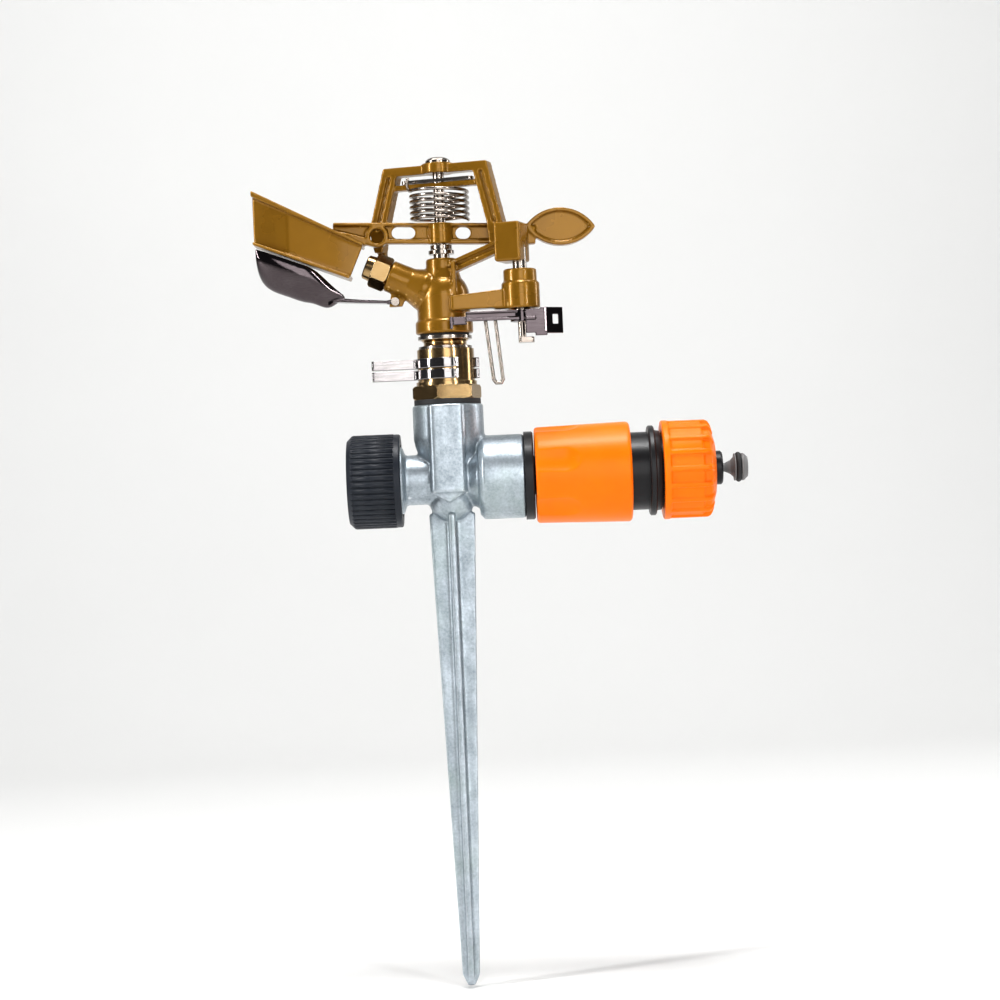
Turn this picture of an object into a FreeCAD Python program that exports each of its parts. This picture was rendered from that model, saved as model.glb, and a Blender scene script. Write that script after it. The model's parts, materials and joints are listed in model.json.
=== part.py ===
import FreeCAD, Part
import math
import os

# Impact sprinkler on a ground spike. Millimetres, +Z up.
# The origin is on the riser axis at the ground line, where the spike's fins meet the tee body.
# The jet leaves towards -X, the hose joins from +X, and -Y is the front.

V = FreeCAD.Vector
X_AXIS = V(1, 0, 0)
Y_AXIS = V(0, 1, 0)
Z_AXIS = V(0, 0, 1)

# ---- fits and gaps ----
RUN = 0.05                  # radial clearance of a running fit
GAP = 0.35                  # gap between faces that move past each other

# ---- ground spike and tee ----
SPIKE_LENGTH = 167.0
SPIKE_TOP_WIDTH = 16.6
SPIKE_TIP_WIDTH = 6.2
FIN_THICKNESS = 2.2
TEE_HEIGHT = 15.4           # height of the hose axis
SOCKET_RADIUS = 12.75
SOCKET_BOTTOM = 27.0
SOCKET_TOP = 42.1
WAIST_RADIUS = 8.4
STUB_RADIUS = 15.1
STUB_START = 10.2
STUB_END = 26.7
NECK_RADIUS = 9.0
CAP_THREAD_RADIUS = 13.1    # G3/4 crest, outside
WATERWAY_RADIUS = 6.2

# ---- screw cap on the spare inlet ----
CAP_RADIUS = 16.75
CAP_INNER_END = -17.6
CAP_OUTER_END = -36.7
CAP_FLOOR = 2.2
CAP_RIBS = 48

# ---- bearing: nipple, tube, washers, collars ----
NIPPLE_BOTTOM = 34.0
GASKET_THICKNESS = 1.8
GASKET_RADIUS = 12.0
HEX_FLATS = 22.0
HEX_HEIGHT = 5.0
HEX_TURN = 15.0             # degrees, the way the hexagon was left when tightened
NIPPLE_TOP = 61.9
SLEEVE_RADIUS = 10.25
TUBE_RADIUS = 7.0
TUBE_BORE = 5.2
TUBE_BOTTOM = 29.0
TUBE_TOP = 77.0
SPRING_POCKET_FLOOR = 50.0
SPRING_POCKET_RADIUS = 9.0
LOWER_COLLAR_HEIGHT = 51.1
UPPER_COLLAR_HEIGHT = 55.1
COLLAR_TALL = 3.5
COLLAR_STRIP = 1.0
COLLAR_TAB_REACH = 26.7
COLLAR_GAP_START = -67.0    # degrees, counted anticlockwise from +X
COLLAR_GAP_END = -12.0
COLLAR_EAR = 1.8

# ---- head casting ----
FLANGE_BOTTOM = 67.5
FLANGE_TOP = 72.6
FLANGE_RADIUS = 10.35
BODY_RADIUS = 9.5
JET_HEIGHT = 80.8           # where the jet axis crosses the riser axis
JET_ANGLE = 24.0            # degrees above level
BARREL_RADIUS = 5.8
BARREL_END = 21.0           # along the jet axis
POST_RADIUS = 5.75
POST_TOP = 94.6
BRIDGE_TURN = -18.0         # degrees, plan angle between the bridge and the jet
BRIDGE_TOP = 128.4
BRIDGE_BEAM = 3.2
BRIDGE_HALF_DEPTH = 3.0
LEG_GROOVE_DEPTH = 1.1
LEDGE_BOTTOM = 120.0
LEDGE_TOP = 122.0
TRIP_X = 27.8
TRIP_Y = -10.5
TRIP_BOSS_BOTTOM = 74.7
TRIP_BOSS_STEP = 84.0
TRIP_BOSS_TOP = 88.8
TRIP_BOSS_RADIUS = 6.8
TRIP_BOSS_NECK = 5.95
TRIP_PIN_TOP = 96.5
JET_BORE = 3.0
NOZZLE_SEAT = 4.2
STOP_BLOCK_BOTTOM = 91.4
STOP_BLOCK_TOP = 105.4

# ---- fulcrum, arm and spring ----
PIN_RADIUS = 2.0
PIN_BOTTOM = 86.5
PIN_CAP_RADIUS = 4.45
PIN_CAP_TOP = 131.0
ARM_BOTTOM = 99.9
ARM_TOP = 107.4
ARM_HALF_DEPTH = 2.4
ARM_SLOPE = 2.4             # degrees, the beam falls towards +X
ARM_RING_X = -22.8
ARM_RING_Z = 103.6
LEAF_X = 43.1
LEAF_Z = 104.4
HUB_RADIUS = 4.4
BUSH_RADIUS = 3.0
ARM_SPRING_RADIUS = 10.25   # to the middle of the wire
ARM_SPRING_WIRE = 1.2
ARM_SPRING_PITCH = 2.0
ARM_SPRING_HALF_TURNS = 11

# ---- vane at the end of the arm ----
VANE_START = 33.2           # along the jet axis, the end nearest the nozzle
VANE_FRONT = -6.6
VANE_BACK = 5.6
VANE_WALL = 1.6
LIP_PROUD = 2.0                # the vane's lips stand this far in front of its web
LIP_THICKNESS = 1.2
VANE_LEFT = -67.0
VANE_HALF_HEIGHT = 6.75     # square to the jet, at its start
VANE_END_TOP = 121.0
VANE_END_BOTTOM = 101.6
KICK_LENGTH = 12.5          # the bent last stretch of the vane

# ---- deflector ----
DEFLECTOR_X = -17.2         # hinge line below the barrel
DEFLECTOR_Z = 79.7
RIVET_RADIUS = 0.9
SCOOP_SHEET = 0.8

# ---- trip mechanism ----
TRIP_PIN_RADIUS = 2.5
TRIP_PLATE_BOTTOM = 73.0
TRIP_PLATE_TOP = 74.1
TRIP_LIP_BOTTOM = 70.6
TRIP_FOOT = 62.6
TRIP_NECK_RADIUS = 1.4      # the pin below the lever
TRIP_SPRING_POCKET = 4.7
TRIP_WIRE_RADIUS = 0.65
TRIP_WIRE_BOTTOM = 48.0

# ---- hose adapter and quick connector, along X ----
ADAPTER_THREAD = 13.1
ADAPTER_FLANGE_RADIUS = 15.85
ADAPTER_FLANGE_END = 30.0
NOSE_RADIUS = 7.8
NOSE_SHOULDER_RADIUS = 8.7
NOSE_NECK_RADIUS = 7.0
NOSE_END = 52.0
CORE_START = 31.0
CORE_RADIUS = 14.0
CORE_SOCKET = 9.1
CORE_GROOVE_RADIUS = 11.6
GROOVE_START = 44.0
GROOVE_END = 62.0
COLLAR_FLANGE_START = 71.2
COLLAR_FLANGE_END = 73.4
COLLAR_FLANGE_RADIUS = 16.2
SLEEVE_START = 30.5
SLEEVE_END = 64.7
SLEEVE_SMALL = 17.25
SLEEVE_LARGE = 18.0
SLEEVE_BORE = 14.35
SLEEVE_GRIPS = 6
NUT_START = 76.0
NUT_END = 95.0
NUT_RADIUS = 17.8
NUT_RIBS = 18
NUT_RIB_WIDTH = 1.6
NUT_POCKET = 0.8
TAIL_RADIUS = 6.1
TAIL_END = 97.7
TAIL_BORE = 4.3
PLUNGER_START = 56.8
PLUNGER_DISC = 102.0
PLUNGER_END = 106.8
PLUNGER_STEM = 1.55
PLUNGER_DISC_RADIUS = 4.9
O_RING_SEAT = 3.4


# ---------------------------------------------------------------- helpers

def cylinder(radius, low, high, x=0.0, y=0.0):
    """Upright cylinder between two heights."""
    return Part.makeCylinder(radius, high - low, V(x, y, low), Z_AXIS)


def washer(outer, inner, low, high, x=0.0, y=0.0):
    return cylinder(outer, low, high, x, y).cut(cylinder(inner, low - 1, high + 1, x, y))


def box(x0, x1, y0, y1, z0, z1):
    return Part.makeBox(x1 - x0, y1 - y0, z1 - z0, V(x0, y0, z0))


def polygon_face(points):
    return Part.Face(Part.makePolygon(points + [points[0]]))


def lathe(profile):
    """Solid of revolution about the riser axis, from (radius, height) points."""
    face = polygon_face([V(r, 0, z) for r, z in profile])
    return face.revolve(V(0, 0, 0), Z_AXIS, 360)


def lathe_x(profile):
    """Solid of revolution about the hose axis, from (x, radius) points."""
    face = polygon_face([V(x, 0, TEE_HEIGHT + r) for x, r in profile])
    return face.revolve(V(0, 0, TEE_HEIGHT), X_AXIS, 360)


def cylinder_x(radius, start, end):
    return Part.makeCylinder(radius, end - start, V(start, 0, TEE_HEIGHT), X_AXIS)


def tube_x(outer, inner, start, end):
    return cylinder_x(outer, start, end).cut(cylinder_x(inner, start - 1, end + 1))


def plate(points, y0, y1):
    """Flat plate with an (x, z) outline, between two depths."""
    face = polygon_face([V(x, y0, z) for x, z in points])
    return face.extrude(V(0, y1 - y0, 0))


def slab(points, z0, z1):
    """Flat slab with an (x, y) outline, between two heights."""
    face = polygon_face([V(x, y, z0) for x, y in points])
    return face.extrude(V(0, 0, z1 - z0))


def hex_prism(flats, low, high, turn):
    corner = flats / math.sqrt(3)
    angles = [math.radians(60 * i + turn) for i in range(6)]
    return slab([(corner * math.cos(a), corner * math.sin(a)) for a in angles], low, high)


def turned(shape, degrees, centre=V(0, 0, 0), axis=Z_AXIS):
    copy = shape.copy()
    copy.rotate(centre, axis, degrees)
    return copy


def about_hose(shape, degrees):
    """Turn a shape about the hose axis."""
    return turned(shape, degrees, V(0, 0, TEE_HEIGHT), X_AXIS)


def to_jet(shape):
    """Take a shape built along +Z from the origin onto the jet axis."""
    copy = turned(shape, -(90 - JET_ANGLE), V(0, 0, 0), Y_AXIS)
    copy.translate(V(0, 0, JET_HEIGHT))
    return copy


def jet_point(along, up=0.0):
    """The (x, z) of a point at a distance along the jet axis and above it."""
    a = math.radians(JET_ANGLE)
    x = -along * math.cos(a) + up * math.sin(a)
    return x, JET_HEIGHT + along * math.sin(a) + up * math.cos(a)


def round_edges(shape, radius, wanted):
    """Fillet the edges for which wanted(edge) is true."""
    edges = [e for e in shape.Edges if wanted(e)]
    return shape.makeFillet(radius, edges)


def is_upright(edge):
    return edge.BoundBox.XLength < 0.01 and edge.BoundBox.YLength < 0.01


def fused(first, *others):
    return first.fuse(list(others)).removeSplitter()


def coil_path(radius, pitch, half_turns, low):
    """Near-helical path of tilted half circles, which meet tangent to each other."""
    arcs = []
    reach = math.hypot(radius, pitch / 4)
    for i in range(half_turns):
        side = 1 if i % 2 == 0 else -1
        start = V(side * radius, 0, low + i * pitch / 2)
        middle = V(0, side * reach, low + (i + 0.5) * pitch / 2)
        end = V(-side * radius, 0, low + (i + 1) * pitch / 2)
        arcs.append(Part.Arc(start, middle, end).toShape())
    return arcs


def sweep_wire(edges, wire, start, direction):
    """Round wire of a diameter swept along tangent edges."""
    ring = Part.Wire([Part.makeCircle(wire / 2, start, direction)])
    return Part.Wire(edges).makePipeShell([ring], True, False)


def coil(radius, wire, pitch, half_turns, low, x=0.0, y=0.0):
    """Round-wire compression spring about an upright axis, starting at a height."""
    spring = sweep_wire(coil_path(radius, pitch, half_turns, low), wire, V(radius, 0, low), Y_AXIS)
    spring.translate(V(x, y, 0))
    return spring


def rod(radius, start, end):
    """Round bar between two points."""
    return Part.makeCylinder(radius, (end - start).Length, start, end - start)


def ball(radius, centre):
    return Part.makeSphere(radius, centre)


def bent_wire(points, radius):
    """Round wire along straight runs with ball corners."""
    parts = [rod(radius, points[i], points[i + 1]) for i in range(len(points) - 1)]
    parts += [ball(radius, p) for p in points[1:-1]]
    return fused(*parts)


def sector(radius, start, end, low, high):
    """Pie slice between two angles in degrees."""
    wedge = Part.makeCylinder(radius, high - low, V(0, 0, low), Z_AXIS, (end - start) % 360)
    return turned(wedge, start)


# ---------------------------------------------------------------- ground part

def spike_fin(width_top, width_tip):
    """One flat tapered blade of the cross-shaped spike, with a blunt rounded tip."""
    outline = [(-width_top / 2, 3.0), (width_top / 2, 3.0), (width_tip / 2, 4.0 - SPIKE_LENGTH)]
    outline += [(width_tip / 5, -SPIKE_LENGTH), (-width_tip / 5, -SPIKE_LENGTH)]
    outline += [(-width_tip / 2, 4.0 - SPIKE_LENGTH)]
    return plate(outline, -FIN_THICKNESS / 2, FIN_THICKNESS / 2)


def spike_base():
    across = spike_fin(SPIKE_TOP_WIDTH, SPIKE_TIP_WIDTH)
    along = turned(spike_fin(SPIKE_TOP_WIDTH, SPIKE_TIP_WIDTH), 90)
    body = lathe([(0, 0.6), (4.2, 0.9), (7.0, 3.4), (WAIST_RADIUS, 7.0), (WAIST_RADIUS, 12.0),
                  (9.6, 20.0), (SOCKET_RADIUS - 0.6, SOCKET_BOTTOM), (SOCKET_RADIUS, 30.0),
                  (SOCKET_RADIUS, SOCKET_TOP - 0.5), (SOCKET_RADIUS - 0.5, SOCKET_TOP), (0, SOCKET_TOP)])
    pad = box(-6.7, 5.7, -SOCKET_RADIUS - 0.3, -4.0, 10.5, SOCKET_TOP - 0.3)
    pad = round_edges(pad, 1.7, lambda e: e.BoundBox.YMax < -10 and is_upright(e))
    pad_toe = plate([(-6.7, 10.6), (5.7, 10.6), (-0.5, 7.0)], -SOCKET_RADIUS + 1.2, -4.0)
    stub = lathe_x([(STUB_START, 0), (STUB_START, 13.4), (STUB_START + 1.6, STUB_RADIUS),
                    (STUB_END - 0.5, STUB_RADIUS), (STUB_END, STUB_RADIUS - 0.5), (STUB_END, 0)])
    root = lathe_x([(0, 0), (0, 8.4), (6.0, 8.8), (STUB_START + 0.5, 11.6), (STUB_START + 0.5, 0)])
    neck_end = CAP_INNER_END - 15.0
    neck = lathe_x([(neck_end, 0), (neck_end, CAP_THREAD_RADIUS - 1.2), (neck_end + 1.0, CAP_THREAD_RADIUS),
                    (CAP_INNER_END - 2.6, CAP_THREAD_RADIUS), (CAP_INNER_END - 2.4, 12.2),
                    (CAP_INNER_END + 0.6, 12.0), (CAP_INNER_END + 1.6, NECK_RADIUS),
                    (0, NECK_RADIUS), (0, 0)])
    web = plate([(5.0, 27.5), (STUB_START + 6.0, 27.5), (STUB_START + 6.0, 22.0), (5.0, 12.0)], -2.4, 2.4)
    casting = fused(body, pad, pad_toe, stub, root, neck, web, across, along)
    casting = casting.cut(cylinder(SOCKET_RADIUS - 2.15, TUBE_BOTTOM - 0.6, SOCKET_TOP + 1))
    casting = casting.cut(cylinder(WATERWAY_RADIUS, TEE_HEIGHT, SOCKET_TOP))
    casting = casting.cut(cylinder_x(ADAPTER_THREAD, 12.4, STUB_END + 1))
    casting = casting.cut(cylinder_x(WATERWAY_RADIUS, neck_end - 1, STUB_END))
    return casting.cut(cylinder_x(NECK_RADIUS, neck_end - 1, CAP_INNER_END - 1.4))


def end_cap():
    inner_corner = CAP_RADIUS - 0.4
    shell = lathe_x([(CAP_OUTER_END, 0), (CAP_OUTER_END, CAP_RADIUS - 1.8), (CAP_OUTER_END + 1.8, CAP_RADIUS),
                     (CAP_INNER_END - 0.4, CAP_RADIUS), (CAP_INNER_END, inner_corner), (CAP_INNER_END, 0)])
    shell = shell.cut(cylinder_x(CAP_THREAD_RADIUS + RUN, CAP_OUTER_END + CAP_FLOOR, CAP_INNER_END + 1))
    grooves = []
    for i in range(CAP_RIBS):
        groove = box(CAP_OUTER_END - 1, CAP_INNER_END - 2.2, -0.35, 0.35,
                     TEE_HEIGHT + CAP_RADIUS - 0.45, TEE_HEIGHT + CAP_RADIUS + 1)
        grooves.append(about_hose(groove, 360 * i / CAP_RIBS))
    return shell.cut(Part.makeCompound(grooves))


def end_cap_washer():
    return tube_x(12.6, 8.0, CAP_OUTER_END + CAP_FLOOR, CAP_OUTER_END + CAP_FLOOR + 1.6)


# ---------------------------------------------------------------- bearing

def bearing_nipple():
    gasket_top = SOCKET_TOP + GASKET_THICKNESS
    hex_top = gasket_top + HEX_HEIGHT
    thread = cylinder(SOCKET_RADIUS - 2.2, NIPPLE_BOTTOM, gasket_top)
    bevel = lathe([(0, gasket_top), (11.9, gasket_top), (12.8, gasket_top + 0.9),
                   (12.8, hex_top - 0.9), (11.9, hex_top), (0, hex_top)])
    hexagon = hex_prism(HEX_FLATS, gasket_top, hex_top, HEX_TURN).common(bevel)
    ring = cylinder(10.9, hex_top, hex_top + 1.4)
    sleeve = cylinder(SLEEVE_RADIUS, hex_top, NIPPLE_TOP)
    nipple = fused(thread, hexagon, ring, sleeve)
    nipple = nipple.cut(cylinder(TUBE_RADIUS + RUN, NIPPLE_BOTTOM - 1, NIPPLE_TOP + 1))
    return nipple.cut(cylinder(SPRING_POCKET_RADIUS, SPRING_POCKET_FLOOR, NIPPLE_TOP + 1))


def nipple_gasket():
    return washer(GASKET_RADIUS, SOCKET_RADIUS - 2.2, SOCKET_TOP, SOCKET_TOP + GASKET_THICKNESS)


def bearing_tube():
    tube = fused(cylinder(TUBE_RADIUS, TUBE_BOTTOM, TUBE_TOP), cylinder(9.6, TUBE_BOTTOM, TUBE_BOTTOM + 1.6))
    return tube.cut(cylinder(TUBE_BORE, TUBE_BOTTOM - 1, TUBE_TOP + 1))


def thrust_washer():
    return washer(9.4, TUBE_RADIUS, TUBE_BOTTOM + 1.6, TUBE_BOTTOM + 3.1)


def thrust_seal():
    return washer(9.2, TUBE_RADIUS, TUBE_BOTTOM + 3.1, NIPPLE_BOTTOM - 0.3)


def bearing_spring():
    return coil(7.95, 1.1, 2.2, 9, SPRING_POCKET_FLOOR + 0.95)


def lower_washer():
    return washer(9.6, TUBE_RADIUS, NIPPLE_TOP + 0.2, NIPPLE_TOP + 1.1)


def neck_spacer():
    low = NIPPLE_TOP + 1.1
    profile = [(TUBE_RADIUS, low), (8.4, low), (7.7, low + 0.7), (7.7, low + 1.5), (8.8, low + 2.5)]
    return lathe(profile + [(TUBE_RADIUS, low + 2.5)])


def upper_washer():
    return washer(9.7, TUBE_RADIUS, NIPPLE_TOP + 3.6, NIPPLE_TOP + 4.8)


def dust_seal():
    return washer(8.8, TUBE_RADIUS, NIPPLE_TOP + 4.8, FLANGE_BOTTOM)


def stop_collar(low):
    """Split spring-steel band that grips the nipple, with a doubled stop tab pointing to -X."""
    high = low + COLLAR_TALL
    inner = SLEEVE_RADIUS + RUN
    outer = inner + COLLAR_STRIP
    band = washer(outer, inner, low, high)
    tab = box(-COLLAR_TAB_REACH, -7.4, -2.6, -0.5, low, high)
    tab = round_edges(tab, 0.6, lambda e: e.BoundBox.XMax < -20 and is_upright(e))
    tab = tab.cut(cylinder(inner, low - 1, high + 1))
    band = band.fuse(tab)
    band = band.cut(sector(30, COLLAR_GAP_START, COLLAR_GAP_END, low - 1, high + 1))
    ears = []
    for angle in (COLLAR_GAP_START - 3.0, COLLAR_GAP_END + 3.0):
        ear = box(inner + 0.2, inner + COLLAR_EAR, -0.5, 0.5, low, high)
        ears.append(turned(ear, angle))
    return fused(band, *ears)


# ---------------------------------------------------------------- head casting

def bridge_leg(outline):
    """One leg of the bridge, before its grooves are cut."""
    return plate(outline, -BRIDGE_HALF_DEPTH, BRIDGE_HALF_DEPTH)


def leg_groove(top, bottom, width):
    """Groove along a leg's middle line, cut from both faces."""
    (x0, z0), (x1, z1) = top, bottom
    outline = [(x0 - width / 2, z0), (x0 + width / 2, z0), (x1 + width / 2, z1), (x1 - width / 2, z1)]
    front = plate(outline, -BRIDGE_HALF_DEPTH - 1, -BRIDGE_HALF_DEPTH + LEG_GROOVE_DEPTH)
    back = plate(outline, BRIDGE_HALF_DEPTH - LEG_GROOVE_DEPTH, BRIDGE_HALF_DEPTH + 1)
    return front.fuse(back)


def bridge():
    """The frame over the arm, built in its own plane and then turned about the riser axis."""
    beam = box(-20.1, 19.2, -BRIDGE_HALF_DEPTH, BRIDGE_HALF_DEPTH, BRIDGE_TOP - BRIDGE_BEAM, BRIDGE_TOP)
    left = bridge_leg([(-20.1, BRIDGE_TOP), (-14.2, BRIDGE_TOP), (-20.2, 106.0), (-21.6, 98.2),
                       (-24.6, 98.2), (-26.4, 106.0)])
    # the foot of the left leg is thinner, so that it passes behind the nozzle to the barrel's back
    foot = plate([(-24.6, 99.2), (-21.6, 99.2), (-21.4, 96.0), (-19.0, 92.0), (-12.0, 88.0),
                  (-12.0, 83.5), (-17.0, 86.0), (-24.3, 96.0)], 0.0, BRIDGE_HALF_DEPTH)
    right = bridge_leg([(13.3, BRIDGE_TOP), (19.2, BRIDGE_TOP), (24.3, 106.0), (25.0, 96.0),
                        (19.4, 96.0), (18.5, 106.0)])
    left = left.cut(leg_groove((-17.8, 125.5), (-23.3, 106.0), 1.5))
    right = right.cut(leg_groove((16.7, 125.5), (21.5, 106.0), 1.5))
    ledge = box(-17.0, 16.5, -2.4, 2.4, LEDGE_BOTTOM, LEDGE_TOP)
    crown = cylinder(5.6, BRIDGE_TOP - BRIDGE_BEAM, BRIDGE_TOP + 0.5)
    frame = fused(beam, left, foot, right, ledge, crown)
    return turned(frame, BRIDGE_TURN)


def stop_block():
    """The block at the foot of the right leg, which the arm strikes and the trip pin hangs from."""
    block = box(22.3, 32.0, -7.8, 4.2, STOP_BLOCK_BOTTOM, STOP_BLOCK_TOP)
    block = block.makeFillet(0.9, block.Edges)
    return turned(block, BRIDGE_TURN)


def strut():
    """Sloping strut from the post to the stop block, with a groove along its front."""
    bar = plate([(1.0, 87.4), (1.0, 92.0), (24.0, 100.0), (24.0, 95.4)], -4.6, 0.0)
    groove = plate([(2.5, 89.7), (2.5, 91.1), (23.0, 98.2), (23.0, 96.8)], -6.0, -3.7)
    return turned(bar.cut(groove), BRIDGE_TURN)


def trip_arm():
    """Level arm in front of the body that carries the trip boss."""
    bar = plate([(2.7, 74.9), (TRIP_X, 75.4), (TRIP_X, 82.3), (2.7, 80.0)], -13.8, -6.4)
    bar = round_edges(bar, 0.8, lambda e: e.BoundBox.XMax < 3.0)
    heel = box(18.4, TRIP_X, -13.2, -7.0, TRIP_BOSS_BOTTOM, 76.0)
    boss = cylinder(TRIP_BOSS_RADIUS, TRIP_BOSS_BOTTOM, TRIP_BOSS_STEP, TRIP_X, TRIP_Y)
    boss = round_edges(boss, 0.5, lambda e: e.BoundBox.ZLength < 0.01)
    neck = cylinder(TRIP_BOSS_NECK, TRIP_BOSS_STEP - 1, TRIP_BOSS_TOP, TRIP_X, TRIP_Y)
    neck = round_edges(neck, 0.7, lambda e: e.BoundBox.ZMin > TRIP_BOSS_TOP - 0.1)
    return fused(bar, heel, boss, neck)


def deflector_lug():
    """Small lug under the barrel that the deflector's rivet goes through."""
    return plate([(-19.5, 78.0), (-14.8, 78.0), (-12.0, 84.0), (-18.0, 86.0)], -1.5, 1.5)


def head_casting():
    flange = lathe([(0, FLANGE_BOTTOM), (FLANGE_RADIUS - 0.4, FLANGE_BOTTOM),
                    (FLANGE_RADIUS, FLANGE_BOTTOM + 0.4), (FLANGE_RADIUS, FLANGE_TOP - 0.8),
                    (BODY_RADIUS, FLANGE_TOP), (0, FLANGE_TOP)])
    body = cylinder(BODY_RADIUS, FLANGE_TOP, JET_HEIGHT)
    crown = ball(BODY_RADIUS, V(0, 0, JET_HEIGHT))
    post = lathe([(0, JET_HEIGHT), (7.2, JET_HEIGHT), (7.2, 86.0), (POST_RADIUS, 91.0),
                  (POST_RADIUS, POST_TOP - 0.5), (POST_RADIUS - 0.5, POST_TOP), (0, POST_TOP)])
    barrel = to_jet(lathe([(0, 0), (7.6, 0), (7.6, 8.0), (BARREL_RADIUS, 13.0),
                           (BARREL_RADIUS, BARREL_END - 0.4), (BARREL_RADIUS - 0.4, BARREL_END),
                           (0, BARREL_END)]))
    rib = plate([(3.4, 76.0), (5.0, 76.0), (5.0, 93.0), (3.4, 93.0)], -8.6, -2.0)
    casting = fused(flange, body, crown, post, barrel, rib, bridge(), stop_block(), strut(), trip_arm(),
                    deflector_lug())
    casting = casting.cut(cylinder(TUBE_RADIUS, FLANGE_BOTTOM - 1, TUBE_TOP))
    casting = casting.cut(cylinder(TUBE_BORE, TUBE_TOP - 1, JET_HEIGHT + 1.5))
    casting = casting.cut(to_jet(cylinder(JET_BORE, 0, BARREL_END)))
    casting = casting.cut(to_jet(cylinder(NOZZLE_SEAT, BARREL_END - 7.0, BARREL_END + 1)))
    casting = casting.cut(cylinder(PIN_RADIUS, PIN_BOTTOM, BRIDGE_TOP + 2))
    casting = casting.cut(cylinder(TRIP_PIN_RADIUS, TRIP_BOSS_BOTTOM - 1, TRIP_PIN_TOP, TRIP_X, TRIP_Y))
    spring_pocket = cylinder(TRIP_SPRING_POCKET, TRIP_BOSS_BOTTOM - 1, TRIP_BOSS_BOTTOM + 6, TRIP_X, TRIP_Y)
    return casting.cut(spring_pocket).cut(hinge_rod(RIVET_RADIUS, 3.0))


def hinge_rod(radius, reach):
    """Rod along the deflector's hinge line, out to a reach on both sides."""
    return rod(radius, V(DEFLECTOR_X, -reach, DEFLECTOR_Z), V(DEFLECTOR_X, reach, DEFLECTOR_Z))


def nozzle():
    """Screwed-in nozzle with a hexagon, a short tip and a bore that narrows to the jet."""
    low = BARREL_END + 0.1
    hex_top = low + 6.0
    hexagon = hex_prism(11.0, low, hex_top, 0).common(
        lathe([(0, low), (5.8, low), (6.4, low + 0.7), (6.4, hex_top - 0.7), (5.8, hex_top), (0, hex_top)]))
    tip = lathe([(0, hex_top), (4.6, hex_top), (4.4, hex_top + 2.6), (3.9, hex_top + 3.0),
                 (0, hex_top + 3.0)])
    shank = cylinder(NOZZLE_SEAT - 2 * RUN, BARREL_END - 6.8, low)
    bore = lathe([(0, BARREL_END - 8), (JET_BORE, BARREL_END - 8), (1.8, hex_top + 1.0),
                  (JET_BORE, hex_top + 1.6), (JET_BORE, hex_top + 4), (0, hex_top + 4)])
    return to_jet(fused(hexagon, tip, shank).cut(bore))


def fulcrum_pin():
    return cylinder(PIN_RADIUS, PIN_BOTTOM, BRIDGE_TOP + 0.5)


def pin_cap():
    low = BRIDGE_TOP + 0.5
    return lathe([(0, low), (PIN_CAP_RADIUS, low), (PIN_CAP_RADIUS, low + 0.9),
                  (PIN_CAP_RADIUS - 0.7, PIN_CAP_TOP - 0.5), (2.6, PIN_CAP_TOP), (0, PIN_CAP_TOP)])


def pin_spacer():
    """Stack of two thin washers under the arm's hub."""
    low = POST_TOP + 1.6
    high = ARM_BOTTOM - GAP - 0.2
    return lathe([(PIN_RADIUS, POST_TOP), (2.9, POST_TOP), (2.9, low), (4.6, low), (4.6, low + 1.3),
                  (3.0, low + 1.3), (3.0, low + 1.7), (3.9, low + 1.7), (3.9, high), (PIN_RADIUS, high)])


def spring_retainer():
    """Steel bar on the ledge with a hole at each end for the spring's upper leg."""
    low = LEDGE_TOP + 0.2
    bar = box(-13.6, 13.2, -2.1, 2.1, low, low + 1.2)
    bar = round_edges(bar, 1.4, is_upright)
    for x in (-11.4, 11.0):
        bar = bar.cut(cylinder(1.0, low - 1, low + 2, x))
    bar = bar.cut(cylinder(PIN_RADIUS, low - 1, low + 2))
    return turned(bar, BRIDGE_TURN)


def arm_spring():
    low = ARM_TOP + GAP + ARM_SPRING_WIRE / 2
    return coil(ARM_SPRING_RADIUS, ARM_SPRING_WIRE, ARM_SPRING_PITCH, ARM_SPRING_HALF_TURNS, low)


# ---------------------------------------------------------------- impact arm

def arm_slot(x0, x1, low, high):
    """Round-ended window through the arm's web."""
    r = (high - low) / 2
    middle = (high + low) / 2
    slot = box(x0 + r, x1 - r, -9, 9, low, high)
    for x in (x0 + r, x1 - r):
        slot = slot.fuse(Part.makeCylinder(r, 18, V(x, -9, middle), Y_AXIS))
    return slot


def sloped(shape, x=0.0, z=(ARM_BOTTOM + ARM_TOP) / 2):
    """Turn a shape by the arm's slope about a point of its middle plane."""
    return turned(shape, ARM_SLOPE, V(x, 0, z), Y_AXIS)


def beam_top(x):
    """Height of the sloped beam's top face at an x."""
    return ARM_TOP - x * math.tan(math.radians(ARM_SLOPE))


def arm_beam():
    """Sloped I-section beam: thin web with two windows, top and bottom flanges."""
    web = box(-24.0, 31.0, -1.0, 1.0, ARM_BOTTOM, ARM_TOP)
    top = box(-38.6, 22.0, -ARM_HALF_DEPTH, ARM_HALF_DEPTH, ARM_TOP - 1.1, ARM_TOP)
    bottom = box(-23.0, 20.0, -ARM_HALF_DEPTH, ARM_HALF_DEPTH, ARM_BOTTOM, ARM_BOTTOM + 1.5)
    beam = fused(web, top, bottom)
    for x0, x1 in ((-17.6, -9.1), (5.4, 10.8)):
        beam = beam.cut(arm_slot(x0, x1, ARM_BOTTOM + 1.9, ARM_TOP - 1.4))
    return sloped(beam)


def arm_tail():
    """Solid end of the beam that spreads to meet the counterweight."""
    height = ARM_TOP - ARM_BOTTOM
    outline = [(18.0, beam_top(18.0)), (27.0, beam_top(27.0)), (34.0, 104.8), (34.0, 98.6),
               (27.0, beam_top(27.0) - height - 0.5), (18.0, beam_top(18.0) - height)]
    return plate(outline, -ARM_HALF_DEPTH, ARM_HALF_DEPTH)


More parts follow.
